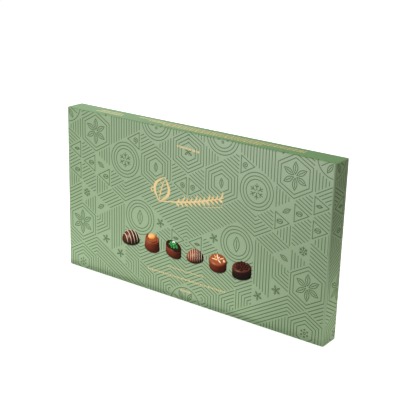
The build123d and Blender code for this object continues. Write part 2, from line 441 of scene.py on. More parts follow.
# %% Fold a sheet
def folded_sheet(name, half_width, half_height, panel_y, rim_y):
    """A board panel at one depth, with walls that reach to another, still without thickness."""
    back = 1 if rim_y > panel_y else -1
    flat_x, flat_z = half_width - END_FOLD, half_height - LONG_CREASE
    tab_z = half_height - TAB_INSET
    sheet = started(
        name, bpy.ops.mesh.primitive_plane_add, size=2, location=(0, panel_y, MIDDLE), rotation=(pi / 2, 0, 0)
    )
    bpy.ops.transform.resize(value=(flat_x, 1, flat_z), center_override=(0, panel_y, MIDDLE))

    fold_y = panel_y + back * END_FOLD
    for side in (1, -1):
        fold_edge(
            sheet, lambda p: same(p.x, side * flat_x) and same(p.y, panel_y), (side * flat_x, fold_y, MIDDLE),
            (0, 0, 1), side * back * 90, END_STEPS, (0, rim_y - fold_y, 0),
        )
        for rise in (1, -1):
            level = MIDDLE + rise * tab_z
            pick(sheet, "FACE", lambda p: same(p.x, side * half_width) and (p.y - fold_y) * back > -NEAR)
            cut_off((0, 0, level), (0, 0, rise))
            fold_edge(
                sheet, lambda p: same(p.x, side * half_width) and same(p.z, level),
                (side * (half_width - TAB_FOLD), 0, level), (0, 1, 0), -side * rise * 90, TAB_STEPS,
                (-side * (TAB_LENGTH - TAB_FOLD), 0, 0),
            )
            middle_y = (fold_y + rim_y) / 2
            bpy.ops.transform.resize(value=(1, TAB_TAPER, 1), center_override=(0, middle_y, 0))

    crease_y = panel_y + back * LONG_CREASE
    for rise in (1, -1):
        flat_end, wall_z = MIDDLE + rise * flat_z, MIDDLE + rise * half_height
        fold_edge(
            sheet, lambda p: same(p.z, flat_end) and same(p.y, panel_y) and abs(p.x) < flat_x + NEAR,
            (0, crease_y, flat_end), (1, 0, 0), -rise * back * 90, CREASE_STEPS, (0, rim_y - crease_y, 0),
        )
        for side in (1, -1):
            pick(
                sheet, "EDGE",
                lambda p: same(p.z, wall_z) and same(p.x, side * flat_x) and (p.y - crease_y) * back > -NEAR,
            )
            pull((side * END_FOLD, 0, 0))
            corner = Vector((side * half_width, crease_y, wall_z))
            pick(sheet, "VERT", lambda p: all(same(value, goal) for value, goal in zip(p, corner)))
            bpy.ops.mesh.bevel(offset=END_FOLD - LONG_CREASE, segments=CORNER_STEPS, affect="VERTICES")
    return sheet


# %% [markdown]
# A sheet's recalculated normals can point either way, so the panel's own normal decides. The long
# walls get their own ink, the inside and the cut edges get bare board.


# %% Give a sheet its thickness and finishes
# A face belongs to a long wall once it is turned up or down by this much
WALL_TILT = 0.35


def thicken(sheet, outward, panel_finish, wall_finish):
    """Turns the sheet's faces outwards, sets its finishes and gives it the board's thickness inwards."""
    face_out(sheet)
    panel = max(sheet.data.polygons, key=lambda face: face.area)
    if panel.normal.y * outward < 0:
        turn_over(sheet)
    dress(sheet, panel_finish, wall_finish, bare_board, bare_board, cut_board, cut_board)
    for face in sheet.data.polygons:
        face.material_index = 1 if abs(face.normal.z) > WALL_TILT else 0
    modify(
        sheet, "SOLIDIFY", thickness=BOARD, offset=-1, use_even_offset=True,
        material_offset=2, material_offset_rim=4,
    )
    smooth(sheet, degrees=32)


lid = folded_sheet("folded_lid", HALF_WIDTH, HALF_HEIGHT, FRONT, BACK)
thicken(lid, -1, sage_print, green_print)
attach(lid, "lid")
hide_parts("lid")

base_low, base_high = (Vector(corner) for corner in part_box("base"))
base = folded_sheet("folded_base", base_high.x, (base_high.z - base_low.z) / 2, base_high.y, base_low.y)
base_green = board_finish("matte_deep_green_ink_on_boxboard", "#6F9A63", 0.58)
thicken(base, 1, base_green, base_green)
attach(base, "base")
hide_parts("base")
for sheet in (lid, base):
    print(sheet.name, len(sheet.data.polygons), "faces", [round(value / MM, 2) for value in sheet.dimensions])

# %% [markdown]
# ## Line print
# Moss green lines cover the front and run on over the folds. A shader could draw plain bars, but not
# lines that bend, meet and end round, so each line is a thin strip of ink with its own mesh. They
# are drawn on the flat blank, as polylines of complex numbers: a point is across + up j, and a turn
# is one multiplication. A lattice of triangles is laid over the right half. Each triangle is filled
# with bars along one of its sides, and because its height is a whole number of pitches, the bars of
# neighbours meet and make chevrons, zigzags and nested hexagons. The left half and the end walls are
# mirror images.

# %% Sizes of the line print
FOLD_MIDDLE = HALF_WIDTH - END_FOLD + END_FOLD * pi / 4
TRIANGLE_COLUMNS = 8
TRIANGLE_TALL = FOLD_MIDDLE / TRIANGLE_COLUMNS
LINES_ACROSS = 6
PITCH = TRIANGLE_TALL / LINES_ACROSS
TRIANGLE_SIDE = TRIANGLE_TALL * 2 / sqrt(3)
LINE_WIDTH = 0.9 * MM
# Half the plain band that stays over each end fold, measured on the flat blank
FOLD_BAND = 1.7 * MM
END_GAP = 0.9 * MM
INK = 0.02 * MM
SEED = 29
seeded = random.Random(SEED)
print("pitch", round(PITCH / MM, 2), "mm, triangle side", round(TRIANGLE_SIDE / MM, 1), "mm")


def turn(degrees):
    """The complex number that turns a point by some degrees."""
    return cmath.exp(1j * radians(degrees))


def knot(corner):
    """The place of a lattice corner, given by its column and its half steps up from the middle."""
    column, half_steps = corner
    return complex(column * TRIANGLE_TALL, half_steps * TRIANGLE_SIDE / 2)


# %% [markdown]
# Some corners of the lattice carry an ornament that takes the place of the six triangles round it.
# The others are filled by a seeded draw: most with bars, a few with a small triangle or a lone motif.
# A triangle often takes the direction of one next to it, so that long bands appear.

# %% Triangles and ornaments of the lattice
# Half steps that the lattice and the ornaments' middles reach up and down from the middle
LATTICE_REACH, ORNAMENT_REACH = 9, 8
ORNAMENT_COUNT = 10
# Least distance between ornaments, in sides of a triangle
ORNAMENT_SPACING = 1.7
# Share of triangles without bars, and of those whose bars follow a neighbour's
ODD_SHARE, FOLLOWING_SHARE = 0.14, 0.45

triangles = []
for column in range(TRIANGLE_COLUMNS):
    right = column + 1
    for half_steps in range(-LATTICE_REACH, LATTICE_REACH):
        if (half_steps - column) % 2 == 0:
            triangles.append(((column, half_steps), (column, half_steps + 2), (right, half_steps + 1)))
        else:
            triangles.append(((right, half_steps), (column, half_steps + 1), (right, half_steps + 2)))

corners = sorted({corner for triangle in triangles for corner in triangle})
corners = [corner for corner in corners if abs(corner[1]) <= ORNAMENT_REACH]
seeded.shuffle(corners)
ornament_corners = []
spacing = ORNAMENT_SPACING * TRIANGLE_SIDE
for corner in corners:
    if all(abs(knot(corner) - knot(other)) > spacing for other in ornament_corners):
        ornament_corners.append(corner)
ornament_corners = ornament_corners[:ORNAMENT_COUNT]

fills = {}


def has_bars(triangle):
    return isinstance(fills[triangle], int)


for triangle in triangles:
    if any(corner in ornament_corners for corner in triangle):
        fills[triangle] = "ornament"
    elif seeded.random() < ODD_SHARE:
        fills[triangle] = seeded.choice(("outline", "motif"))
    else:
        beside = [other for other in fills if len(set(other) & set(triangle)) == 2 and has_bars(other)]
        if beside and seeded.random() < FOLLOWING_SHARE:
            fills[triangle] = fills[seeded.choice(beside)]
        else:
            fills[triangle] = seeded.randrange(3)
print("triangles", len(triangles), "ornaments", len(ornament_corners))


# %% [markdown]
# The number of a fill is the direction of its bars: upright, or rising or falling by 30 degrees. A
# bar that ends on a side where no bar of the neighbour goes on stops a little short of it.


# %% Bars of a triangle
def direction(start, end):
    """The number of a side's direction: 0 upright, 1 rising to the right, 2 falling."""
    if start[0] == end[0]:
        return 0
    return 1 if (end[1] - start[1]) * (end[0] - start[0]) > 0 else 2


def sides(triangle):
    a, b, c = triangle
    return [(a, b, c), (b, c, a), (c, a, b)]


across_side = {}
for triangle in triangles:
    for a, b, _ in sides(triangle):
        across_side.setdefault(frozenset((a, b)), []).append(triangle)


def goes_on(triangle, a, b):
    """Whether bars that end on a side meet bars on its other side, or their mirror image there."""
    if a[0] == b[0] and a[0] in (0, TRIANGLE_COLUMNS):
        return True
    others = [other for other in across_side[frozenset((a, b))] if other != triangle]
    return bool(others) and has_bars(others[0]) and fills[others[0]] != direction(a, b)


def bars(triangle):
    """The bars along one side, each from one of the other two sides to the other."""
    a, b, top = next(side for side in sides(triangle) if direction(side[0], side[1]) == fills[triangle])
    lines = []
    for number in range(LINES_ACROSS):
        share = (number + 0.5) / LINES_ACROSS
        left = knot(a) + (knot(top) - knot(a)) * share
        right = knot(b) + (knot(top) - knot(b)) * share
        along = (right - left) / abs(right - left)
        if not goes_on(triangle, a, top):
            left += along * END_GAP
        if not goes_on(triangle, b, top):
            right -= along * END_GAP
        if abs(right - left) > LINE_WIDTH / 2 and ((right - left) / along).real > 0:
            lines.append([left, right])
    return lines


# %% [markdown]
# Small motifs stand alone in a triangle or in the middle of an ornament: a leaf, a bean, a snow
# crystal, a flower, a ring of dots and a curl. All are plain and common ones.


# %% Small motifs
# The points of a round line are about this far apart, and there are at least so many steps
CHORD = 0.9 * MM
FEWEST_STEPS = 8


def arc(centre, radius, start=0, end=360):
    steps = max(FEWEST_STEPS, round(abs(radians(end - start)) * radius / CHORD))
    return [centre + radius * turn(start + (end - start) * step / steps) for step in range(steps + 1)]


def put(lines, centre, angle):
    """Lines that are drawn round the origin, turned and moved to a place."""
    return [[centre + point * turn(angle) for point in line] for line in lines]


def leaf(centre, size, angle):
    """Two bowed edges and a rib."""
    edge = [complex(size * (step / 5 - 1), size * 0.42 * sin(pi * step / 10)) for step in range(11)]
    outline = edge + [point.conjugate() for point in reversed(edge[:-1])]
    rib = [complex(-size * 0.5, 0), complex(size * 0.55, 0)]
    return put((outline, rib), centre, angle)


def bean(centre, size, angle):
    """An oval with a wavy groove."""
    oval = [complex(size * cos(step * pi / 9), size * 0.66 * sin(step * pi / 9)) for step in range(19)]
    groove = [complex(size * (step / 5 - 1) * 0.8, size * 0.16 * sin(step * pi / 2.5)) for step in range(11)]
    return put((oval, groove), centre, angle)


def crystal(centre, size, angle):
    """Six arms, each with a pair of barbs."""
    lines = []
    for number in range(6):
        arm = turn(angle + 60 * number)
        barb = centre + arm * size * 0.55
        lines.append([centre + arm * size * 0.22, centre + arm * size])
        lines.append([barb + arm * turn(50) * size * 0.36, barb, barb + arm * turn(-50) * size * 0.36])
    return lines


def flower(centre, size, angle):
    """Five petals round a dot."""
    lines = [arc(centre, size * 0.14)]
    for number in range(5):
        way = angle + 90 + 72 * number
        lines += leaf(centre + turn(way) * size * 0.66, size * 0.38, way)[:1]
    return lines


def curl(centre, size, angle):
    """A spiral of nearly two turns."""
    return [[centre + turn(angle + 640 * step / 34) * size * (0.1 + 0.9 * step / 34) for step in range(35)]]


def dots(centre, size, angle):
    """A ring of small rings round a larger one."""
    ring = [arc(centre + turn(angle + 60 * number) * size * 0.78, size * 0.14) for number in range(6)]
    return ring + [arc(centre, size * 0.26)]


MOTIFS = (leaf, crystal, bean, flower, dots)

# %% [markdown]
# An ornament fills a hexagon of the lattice. Nested hexagons and a target of rings have a motif in
# their middle, and a wheel and a flower of petals are made of leaves.


# %% Ornaments of a hexagon
RIM = TRIANGLE_TALL - PITCH / 2


def hexagons(centre, count):
    """Hexagons one inside the other, a pitch apart."""
    radii = [(LINES_ACROSS - 0.5 - number) * PITCH / cos(pi / 6) for number in range(count)]
    return [[centre + radius * turn(90 + 60 * number) for number in range(7)] for radius in radii]


def nested_hexagons(centre):
    return hexagons(centre, 4)


def target(centre):
    return [arc(centre, RIM - number * PITCH) for number in range(3)]


def wheel(centre):
    lines = [arc(centre, RIM), arc(centre, 0.8 * PITCH)]
    for number in range(6):
        spoke = turn(60 * number + 30)
        lines.append([centre + spoke * 1.4 * PITCH, centre + spoke * (RIM - 0.7 * PITCH)])
        lines += leaf(centre + turn(60 * number) * 3.2 * PITCH, 1.5 * PITCH, 60 * number)
    return lines


def petals(centre):
    lines = hexagons(centre, 2)
    for number in range(6):
        lines += leaf(centre + turn(60 * number + 30) * 2.3 * PITCH, 1.7 * PITCH, 60 * number + 30)
    return lines


# Each ornament, and the size in pitches of the motif in its middle
ORNAMENTS = ((nested_hexagons, 1.4), (target, 2.3), (wheel, 0), (petals, 0))

# %% [markdown]
# Now every ornament and every triangle adds its lines. The bars are still in short pieces, one for
# each triangle. Pieces that end at the same place are joined, so that a strip bends round a corner
# without a notch.

# %% Lay out the right half
right_lines = []
for number, corner in enumerate(ornament_corners):
    ornament, motif_size = ORNAMENTS[number % len(ORNAMENTS)]
    right_lines += ornament(knot(corner))
    if motif_size:
        right_lines += MOTIFS[number % len(MOTIFS)](knot(corner), motif_size * PITCH, 90)

for triangle in triangles:
    if has_bars(triangle):
        right_lines += bars(triangle)
    elif fills[triangle] == "outline":
        places = [knot(corner) for corner in triangle]
        centre = sum(places) / 3
        kept = 1 - 1.5 / LINES_ACROSS
        right_lines.append([centre + (place - centre) * kept for place in places + places[:1]])
        motif = seeded.choice((leaf, bean, curl))
        right_lines += motif(centre, 0.95 * PITCH, 0 if places[0].real < places[2].real else 180)
    elif fills[triangle] == "motif":
        centre = sum(knot(corner) for corner in triangle) / 3
        motif = seeded.choice((leaf, crystal, flower, curl))
        right_lines += motif(centre, 1.35 * PITCH, seeded.choice((30, 90, 150)))
print("pieces of line", len(right_lines))


# %% Join bars that meet
def joined(lines):
    """Lines that end at the same place become one line."""
    waiting = list(lines)
    result = []
    while waiting:
        line = waiting.pop()
        grew = True
        while grew and abs(line[0] - line[-1]) > NEAR:
            grew = False
            for other in waiting:
                for candidate in (other, other[::-1]):
                    if abs(candidate[0] - line[-1]) < NEAR:
                        line, grew = line + candidate[1:], True
                    elif abs(candidate[-1] - line[0]) < NEAR:
                        line, grew = candidate + line[1:], True
                    if grew:
                        break
                if grew:
                    waiting.remove(other)
                    break
        result.append(line)
    return result


right_lines = joined(right_lines)
print("lines on the right half", len(right_lines))

# %% [markdown]
# A strip is the line's outline: two points beside each point of the line, set out further where the
# line bends, and a half round at each free end.


# %% Strips of ink
CAP_STEPS = 4
# A line is closed when its ends are this close
SAME_PLACE = 1e-7
# A bend is set out by this share of the width at most, and a line that turns right back isn't bent
FARTHEST = 2.0
TURNS_BACK = 0.05
SHARPEST = 0.3


def unit(step):
    return step / abs(step)


def add_strip(vertices, faces, points, width, tip_width=None):
    """Adds a strip to lists of flat vertices and faces. With a tip width it swells to its middle."""
    is_closed = abs(points[0] - points[-1]) < SAME_PLACE and len(points) > 3
    base, last = len(vertices), len(points) - 1
    for number, point in enumerate(points):
        before = points[number - 1] if number else (points[-2] if is_closed else None)
        after = points[number + 1] if number < last else (points[1] if is_closed else None)
        into = unit(point - before) if before is not None else unit(after - point)
        out = unit(after - point) if after is not None else into
        across = 1j * (unit(into + out) if abs(into + out) > TURNS_BACK else into)
        stretch = min(FARTHEST, 1 / max(SHARPEST, (across.conjugate() * 1j * into).real))
        here = width if tip_width is None else tip_width + (width - tip_width) * sin(pi * number / last)
        vertices += [point + across * here / 2 * stretch, point - across * here / 2 * stretch]
    for number in range(last):
        a = base + 2 * number
        faces.append((a, a + 1, a + 3, a + 2))
    if is_closed:
        return
    for left, right in ((base, base + 1), (base + 2 * last + 1, base + 2 * last)):
        centre = (vertices[left] + vertices[right]) / 2
        rim = vertices[left] - centre
        cap = range(len(vertices), len(vertices) + CAP_STEPS - 1)
        vertices += [centre + rim * turn(180 * step / CAP_STEPS) for step in range(1, CAP_STEPS)]
        faces.append((right, left, *cap))


def flat_ink(name, strips, finish, lift=0.0):
    """A mesh of flat strips in the plane of the front panel, each laid a lift higher than the last."""
    vertices, faces, depths = [], [], []
    for number, strip in enumerate(strips):
        add_strip(vertices, faces, *strip)
        depths += [FRONT - number * lift] * (len(vertices) - len(depths))
    mesh = bpy.data.meshes.new(name)
    mesh.from_pydata([(point.real, y, MIDDLE + point.imag) for point, y in zip(vertices, depths)], [], faces)
    mesh.materials.append(finish)
    return placed(name, mesh)


# %% [markdown]
# Ends that lie on the panel's middle line are run past it and cut off flush there, so that both
# halves meet. The end wall's part is the front's mirror image, cut to the wall's size. Lines that run
# on over the long creases end just past them.

# %% Draw the right half on the flat blank
FLAT_X = HALF_WIDTH - END_FOLD
FLAT_Z = HALF_HEIGHT - LONG_CREASE
FOLD_ARC = END_FOLD * pi / 2
CREASE_ARC = LONG_CREASE * pi / 2
# How far lines run on past a long crease, and how far from the end wall's free edge they stop
BLEED = 1.7 * MM
RIM_GAP = 0.1 * MM


def run_past(line):
    """The line with its ends on the middle line drawn out past it."""
    line = list(line)
    for end, inner in ((0, 1), (-1, -2)):
        if same(line[end].real, 0):
            line[end] += unit(line[end] - line[inner]) * LINE_WIDTH
    return line


line_print = flat_ink("line_print", [(run_past(line), LINE_WIDTH) for line in right_lines], moss_ink)
open_up(line_print)
for place, normal in (
    ((0, 0, 0), (-1, 0, 0)),
    ((FOLD_MIDDLE - FOLD_BAND, 0, 0), (1, 0, 0)),
    ((0, 0, MIDDLE + FLAT_Z + CREASE_ARC + BLEED), (0, 0, 1)),
    ((0, 0, MIDDLE - FLAT_Z - CREASE_ARC - BLEED), (0, 0, -1)),
):
    pick_all()
    cut_off(place, normal)
pick_all()
bpy.ops.mesh.duplicate()
bpy.ops.transform.mirror(
    orient_type="GLOBAL", constraint_axis=(True, False, False), center_override=(FOLD_MIDDLE, 0, 0)
)
bpy.ops.mesh.flip_normals()
cut_off((FLAT_X + FOLD_ARC + BACK - FRONT - END_FOLD - RIM_GAP, 0, 0), (1, 0, 0))
pick_all()
bpy.ops.mesh.remove_doubles(threshold=2 * WELD)
print("flat ink", len(bmesh.from_edit_mesh(line_print.data).faces), "faces")

# %% [markdown]
# Before it is folded, the ink is cut along the same lines at which the board bends, so that it lies
# on the board's small facets without gaps. Then each point moves to its place on the folded board.


# %% Fold the ink with the board
def bend(distance, flat, radius):
    """How far along and how far back a point lies once the part past the flat is folded."""
    turned = (distance - flat) / radius
    if turned <= 0:
        return distance, -INK
    if turned < pi / 2:
        return flat + (radius + INK) * sin(turned), radius - (radius + INK) * cos(turned)
    return flat + radius + INK, radius + distance - flat - radius * pi / 2


def cut_along(axis, first, arc_length, steps):
    """Cuts the whole mesh at every line at which the board bends."""
    for step in range(steps + 1):
        place, normal = [0.0] * 3, [0.0] * 3
        place[axis] = first + arc_length * step / steps
        normal[axis] = 1.0
        pick_all()
        bpy.ops.mesh.bisect(plane_co=place, plane_no=normal)


cut_along(0, FLAT_X, FOLD_ARC, END_STEPS)
for rise in (1, -1):
    cut_along(2, MIDDLE + rise * FLAT_Z, rise * CREASE_ARC, CREASE_STEPS)
    pick(line_print, "FACE", lambda p: p.x > FLAT_X - WELD)
    cut_off((0, 0, MIDDLE + rise * (HALF_HEIGHT - TAB_INSET)), (0, 0, rise))
pick_all()
bpy.ops.mesh.delete_loose()
open_up(line_print, "OBJECT")
for vertex in line_print.data.vertices:
    x, z = vertex.co.x, vertex.co.z - MIDDLE
    if x > FLAT_X:
        along, deep = bend(x, FLAT_X, END_FOLD)
        vertex.co = (along, FRONT + deep, MIDDLE + z)
    else:
        along, deep = bend(abs(z), FLAT_Z, LONG_CREASE)
        vertex.co = (x, FRONT + deep, MIDDLE + (along if z > 0 else -along))
modify(line_print, "MIRROR", use_axis=(True, False, False), merge_threshold=WELD)
modify(line_print, "SOLIDIFY", thickness=INK, offset=-1)
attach(line_print, "lid")
print("line print", len(line_print.data.polygons), "faces")

# %% [markdown]
# ## Gold foil
# The gold is hot-stamped foil over the ink: a plain spray of leaves on the front, and borders of
# small lozenges above and below it. They are strips like the lines, laid a little higher. Stamped
# foil is a metal, but it looks pale and soft here because its fine texture scatters light.


# %% Foil
gold_foil = mottled_finish(
    "hot_stamped_pale_gold_foil", "#D3B67E", 0.45, 1.5,
    ((3 * MM, 0.93, 1.05, 3.0),), (0.5 * MM, 3.0, 0.01 * MM), metallic=0.25,
)
FOIL = 0.015 * MM
# The foil lies this far over the ink, and each stroke a little higher than the last
FOIL_GAP = 0.004 * MM
STROKE_LIFT = 0.001 * MM
print("foil", round(FOIL / MM, 3), "mm thick,", gold_foil.name)


def stamp(thing):
    """Moves flat foil out over the ink on the front, and gives it its thickness."""
    for vertex in thing.data.vertices:
        vertex.co.y -= INK + FOIL_GAP + FOIL
    modify(thing, "SOLIDIFY", thickness=FOIL, offset=-1)
    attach(thing, "lid")


# %% [markdown]
# The spray is drawn as with a broad nib: every stroke swells in its middle and is thin at its tips.
# A large leaf with ribs and a tendril stands at the left. Its long stem runs to the right, with
# small leaves along both sides. Lengths are in millimetres from the middle of the lower edge.


# %% Strokes of the spray
def at(x, z):
    """A place on the front panel, in millimetres from the middle of its lower edge."""
    return complex(x * MM, z * MM) - 1j * MIDDLE


def bow(start, end, swing, steps=16):
    """A curved stroke between two places, bulging to its left by a share of its length."""
    step = end - start
    return [start + step * k / steps + 1j * step * swing * sin(pi * k / steps) for k in range(steps + 1)]


def scroll(centre, radius, start, end, closing):
    """A round stroke whose radius changes by a factor from its start to its end."""
    count = 40
    shares = [k / count for k in range(count + 1)]
    return [centre + radius * closing**share * turn(start + (end - start) * share) for share in shares]


NIB = 0.6 * MM


def outlined_leaf(root, tip, swing, width):
    """A leaf as two bowed strokes that share their ends."""
    return [(bow(root, tip, swing), width, NIB), (bow(root, tip, -swing), width, NIB)]


leaf_root, leaf_tip = at(-37, 105), at(-30, 133)
spray = outlined_leaf(leaf_root, leaf_tip, 0.33, 3.4 * MM)
spray.append((bow(leaf_root, leaf_tip - 3j * MM, 0.04), 1.3 * MM, NIB))
for share in (0.3, 0.48, 0.66):
    rib = leaf_root + (leaf_tip - leaf_root) * share
    for side, reach in ((1, 5.2), (-1, 5.6)):
        spray.append(([rib, rib + unit(leaf_tip - leaf_root) * turn(52 * side) * reach * MM], 0.9 * MM, NIB))
spray.append((scroll(at(-45.5, 116), 4.2 * MM, -60, 330, 0.3), 1.5 * MM, NIB))
stem = bow(at(-36.8, 105.2), at(45, 126), -0.03, 60)
spray.append((stem, 1.7 * MM, 0.8 * MM))
# How many pairs of small leaves there are, at which step of the stem the first leaf sits, and the
# steps from pair to pair and from a pair's first leaf to its second
LEAF_PAIRS, FIRST_LEAF, PAIR_STEPS, SECOND_LEAF = 11, 15, 4, 2
for number in range(LEAF_PAIRS):
    first = FIRST_LEAF + PAIR_STEPS * number
    place, later = stem[first], stem[first + SECOND_LEAF]
    way = unit(later - place)
    spray.append((bow(place, place + way * turn(-50) * 6.8 * MM, 0.12), 2.2 * MM, NIB))
    length = (8.4 if number % 3 == 1 else 5.4) * MM
    spray.append((bow(later, later + way * turn(50) * length, -0.12), 1.9 * MM, NIB))
stamp(flat_ink("gold_spray", spray, gold_foil, STROKE_LIFT))
print("spray strokes", len(spray))

# %% [markdown]
# The small rows are borders of lozenges and double dashes. A strip that swells to its middle makes a
# lozenge.


# %% Small rows of gold
# Shares of a row's height: step, half a lozenge's length, its width, and the dashes' place off the
# middle. Half a dash's length is a share of the step.
STEP, LOZENGE_HALF, LOZENGE_WIDE, DASH_OFF, DASH_HALF = 1.9, 0.44, 0.85, 0.2, 0.13
LOZENGE_TIP = 0.2 * MM


def border(start, end, height, dash_share=0.2):
    """A row of lozenges with two short dashes, one above the other, between them."""
    strips = []
    along = unit(end - start)
    off = 1j * along * height * DASH_OFF
    half = along * height * LOZENGE_HALF
    dash = along * height * STEP * DASH_HALF
    count = max(1, round(abs(end - start) / (height * STEP)))
    for number in range(count + 1):
        place = start + (end - start) * number / count
        strips.append(([place - half, place, place + half], height * LOZENGE_WIDE, LOZENGE_TIP))
        if number < count:
            middle = place + (end - start) / count / 2
            for line in (middle + off, middle - off):
                strips.append(([line - dash, line + dash], height * dash_share))
    return strips


front_rows = border(at(-13.5, 169.5), at(12.5, 167.6), 3.0 * MM)
front_rows += border(at(-23.5, 34.6), at(22, 34.6), 1.8 * MM)
front_rows += border(at(-50, 25.2), at(50, 25.2), 2.6 * MM)
front_rows += border(at(-5.4, 12), at(5.4, 12), 2.9 * MM)
front_rows += border(at(21, 110.6), at(43, 115.8), 1.5 * MM)
stamp(flat_ink("gold_rows_front", front_rows, gold_foil))
print("strips of gold on the front", len(front_rows))

# %% [markdown]
# The rows on the upper side are the same foil as on the front, but they are drawn in a matte ink whose pale
# gold is a painted sheen: it stands for the bright room that foil mirrors at the flat angle of this side.

# %% Gold rows on the upper long side, in ink with a painted sheen
# Its pale gold is painted sheen, the light that foil mirrors at this flat angle, and not the foil's own
# colour
gold_ink_with_painted_sheen = board_finish("gold_ink_with_painted_sheen", "#F2DF8E", 0.5, 0.02)
# Start and end along the side, place from its middle towards the back, and height
UPPER_ROWS = (
    (-131, -97, -2.6, 3.8),
    (-129, -99, 2.4, 3.4),
    (-76, 126, 4.6, 3.8),
    (-60, 126, 0.4, 3.8),
    (-38, 80, -3.8, 3.8),
)
upper_rows = []
for start, end, back, height in UPPER_ROWS:
    upper_rows += border(complex(start, back) * MM, complex(end, back) * MM, height * MM, 0.38)
upper_print = flat_ink("gold_rows_upper_side", upper_rows, gold_ink_with_painted_sheen)
for vertex in upper_print.data.vertices:
    vertex.co = (vertex.co.x, vertex.co.z - MIDDLE, MIDDLE + HALF_HEIGHT + FOIL)
upper_print.data.update()
if upper_print.data.polygons[0].normal.z < 0:
    turn_over(upper_print)
modify(upper_print, "SOLIDIFY", thickness=FOIL, offset=-1)
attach(upper_print, "lid")
print("strips of gold on the upper side", len(upper_rows))

# %% [markdown]
# ## Chocolates
# Six kinds of filled chocolates lie in the trays, four of each. Each kind is modelled once, standing
# on the origin with its top up, and then copied to its four places. A shell that was cast in a mould
# is smooth, with soft edges, so a disc is drawn up ring by ring along the kind's side profile.


# %% Bodies drawn up from a disc
EDGE_STEPS = 6
DOME_STEPS = 12
# A ball's cap is drawn up to this angle, where its last small ring closes the top
DOME_TOP = 87


def drawn_up(name, profile, sides=48, width_share=1.0):
    """A closed round or oval body whose side follows pairs of radius and height in millimetres."""
    radius, height = profile[0]
    body = started(
        name, bpy.ops.mesh.primitive_circle_add, vertices=sides, radius=radius * MM,
        location=(0, 0, height * MM), fill_type="NGON",
    )
    for (old, low), (new, high) in zip(profile, profile[1:]):
        pull((0, 0, (high - low) * MM))
        bpy.ops.transform.resize(value=(new / old, new / old, 1), center_override=(0, 0, high * MM))
    pick_all()
    bpy.ops.transform.resize(value=(1, width_share, 1), center_override=(0, 0, 0))
    face_out(body, degrees=50)
    return body


def rounded_top(radius, height, edge, crown=0.4, foot=0.3):
    """A profile with a small round foot, a straight side, a round top edge and a low crown."""
    profile = [(radius - foot, 0), (radius, foot), (radius, (height - edge) / 2), (radius, height - edge)]
    for step in range(1, EDGE_STEPS + 1):
        swing = pi / 2 * step / EDGE_STEPS
        profile.append((radius - edge * (1 - cos(swing)), height - edge - crown + edge * sin(swing)))
    inner = radius - edge
    profile += [(inner * share, height - crown * share**2) for share in (0.75, 0.5, 0.25, 0.06)]
    return profile


def ball_radius(radius, height, skirt):
    """The radius of the ball whose cap is as wide and high as this body over its skirt."""
    rise = height - skirt
    return (radius**2 + rise**2) / (2 * rise)


def domed(radius, height, skirt):
    """A profile with a short skirt under a ball's cap."""
    ball = ball_radius(radius, height, skirt)
    low = asin((skirt - height + ball) / ball)
    profile = [(radius - 0.5, 0), (radius, 0.5)]
    for step in range(DOME_STEPS + 1):
        swing = low + (radians(DOME_TOP) - low) * step / DOME_STEPS
        profile.append((ball * cos(swing), height - ball + ball * sin(swing)))
    return profile


# %% [markdown]
# Chocolate's colour comes from its milk, and its soft gloss from well tempered cocoa butter. A faint
# cloudiness and shallow dents keep it from looking like plastic.


# %% Food finishes
FOOD_IOR = 1.48
COAT_ROUGHNESS = 0.2


def food_finish(name, colour, roughness, patch, spread, depth, coat=0.0):
    """A finish whose tone varies by a share over patches of a given size."""
    return mottled_finish(
        name, colour, roughness, FOOD_IOR, ((patch, 1 - spread, 1 + spread, 4.0),), (patch / 3, 3.0, depth),
        coat_weight=coat, coat_roughness=COAT_ROUGHNESS,
    )


dark_chocolate = food_finish("tempered_dark_chocolate", "#3A2016", 0.32, 5 * MM, 0.12, 0.06 * MM, 0.2)
milk_chocolate = food_finish("tempered_milk_chocolate", "#7A4329", 0.36, 5 * MM, 0.10, 0.06 * MM, 0.2)
cream_icing = food_finish("piped_cream_icing", "#E6D8BE", 0.5, 2 * MM, 0.05, 0.04 * MM)
roasted_nut = food_finish("roasted_hazelnut", "#C98646", 0.55, 2 * MM, 0.22, 0.15 * MM)
pistachio = food_finish("chopped_pistachio", "#4F9A4A", 0.6, 1.5 * MM, 0.25, 0.15 * MM)
pale_flake = food_finish("pale_almond_flake", "#EBD3B4", 0.5, 2 * MM, 0.10, 0.05 * MM)
cocoa_nib = food_finish("crushed_cocoa_nib", "#33190F", 0.6, 1 * MM, 0.30, 0.15 * MM)
print("materials so far", len(bpy.data.materials))


# %% [markdown]
# Icing is piped as round beads that thin out at their ends. A curve with a round bevel makes them,
# and becomes a mesh, as every piece here is one.

# %% Piped beads
# A bead's share of its thickness at its very end, and how much it gains from point to point
BEAD_TIP, BEAD_SWELL = 0.45, 0.3
BEAD_STEPS = 16
# In millimetres, how high a bead's middle lies over the chocolate and how far in from its edge it ends
BEAD_RISE, BEAD_INSET = 0.05, 0.2


def piped(name, paths, thickness, finish):
    """Round beads along paths, with tapered ends, as one mesh."""
    curve = bpy.data.curves.new(name, "CURVE")
    curve.dimensions = "3D"
    curve.bevel_depth = thickness / 2
    curve.bevel_resolution = 2
    curve.use_fill_caps = True
    for path in paths:
        spline = curve.splines.new("POLY")
        spline.points.add(len(path) - 1)
        for number, (point, place) in enumerate(zip(spline.points, path)):
            point.co = (*place, 1)
            from_end = min(number, len(path) - 1 - number)
            point.radius = min(1.0, BEAD_TIP + BEAD_SWELL * from_end)
    open_up(placed(name, curve), "OBJECT")
    bpy.ops.object.convert(target="MESH")
    thing = bpy.context.object
    face_out(thing, degrees=60)
    dress(thing, finish)
    return thing


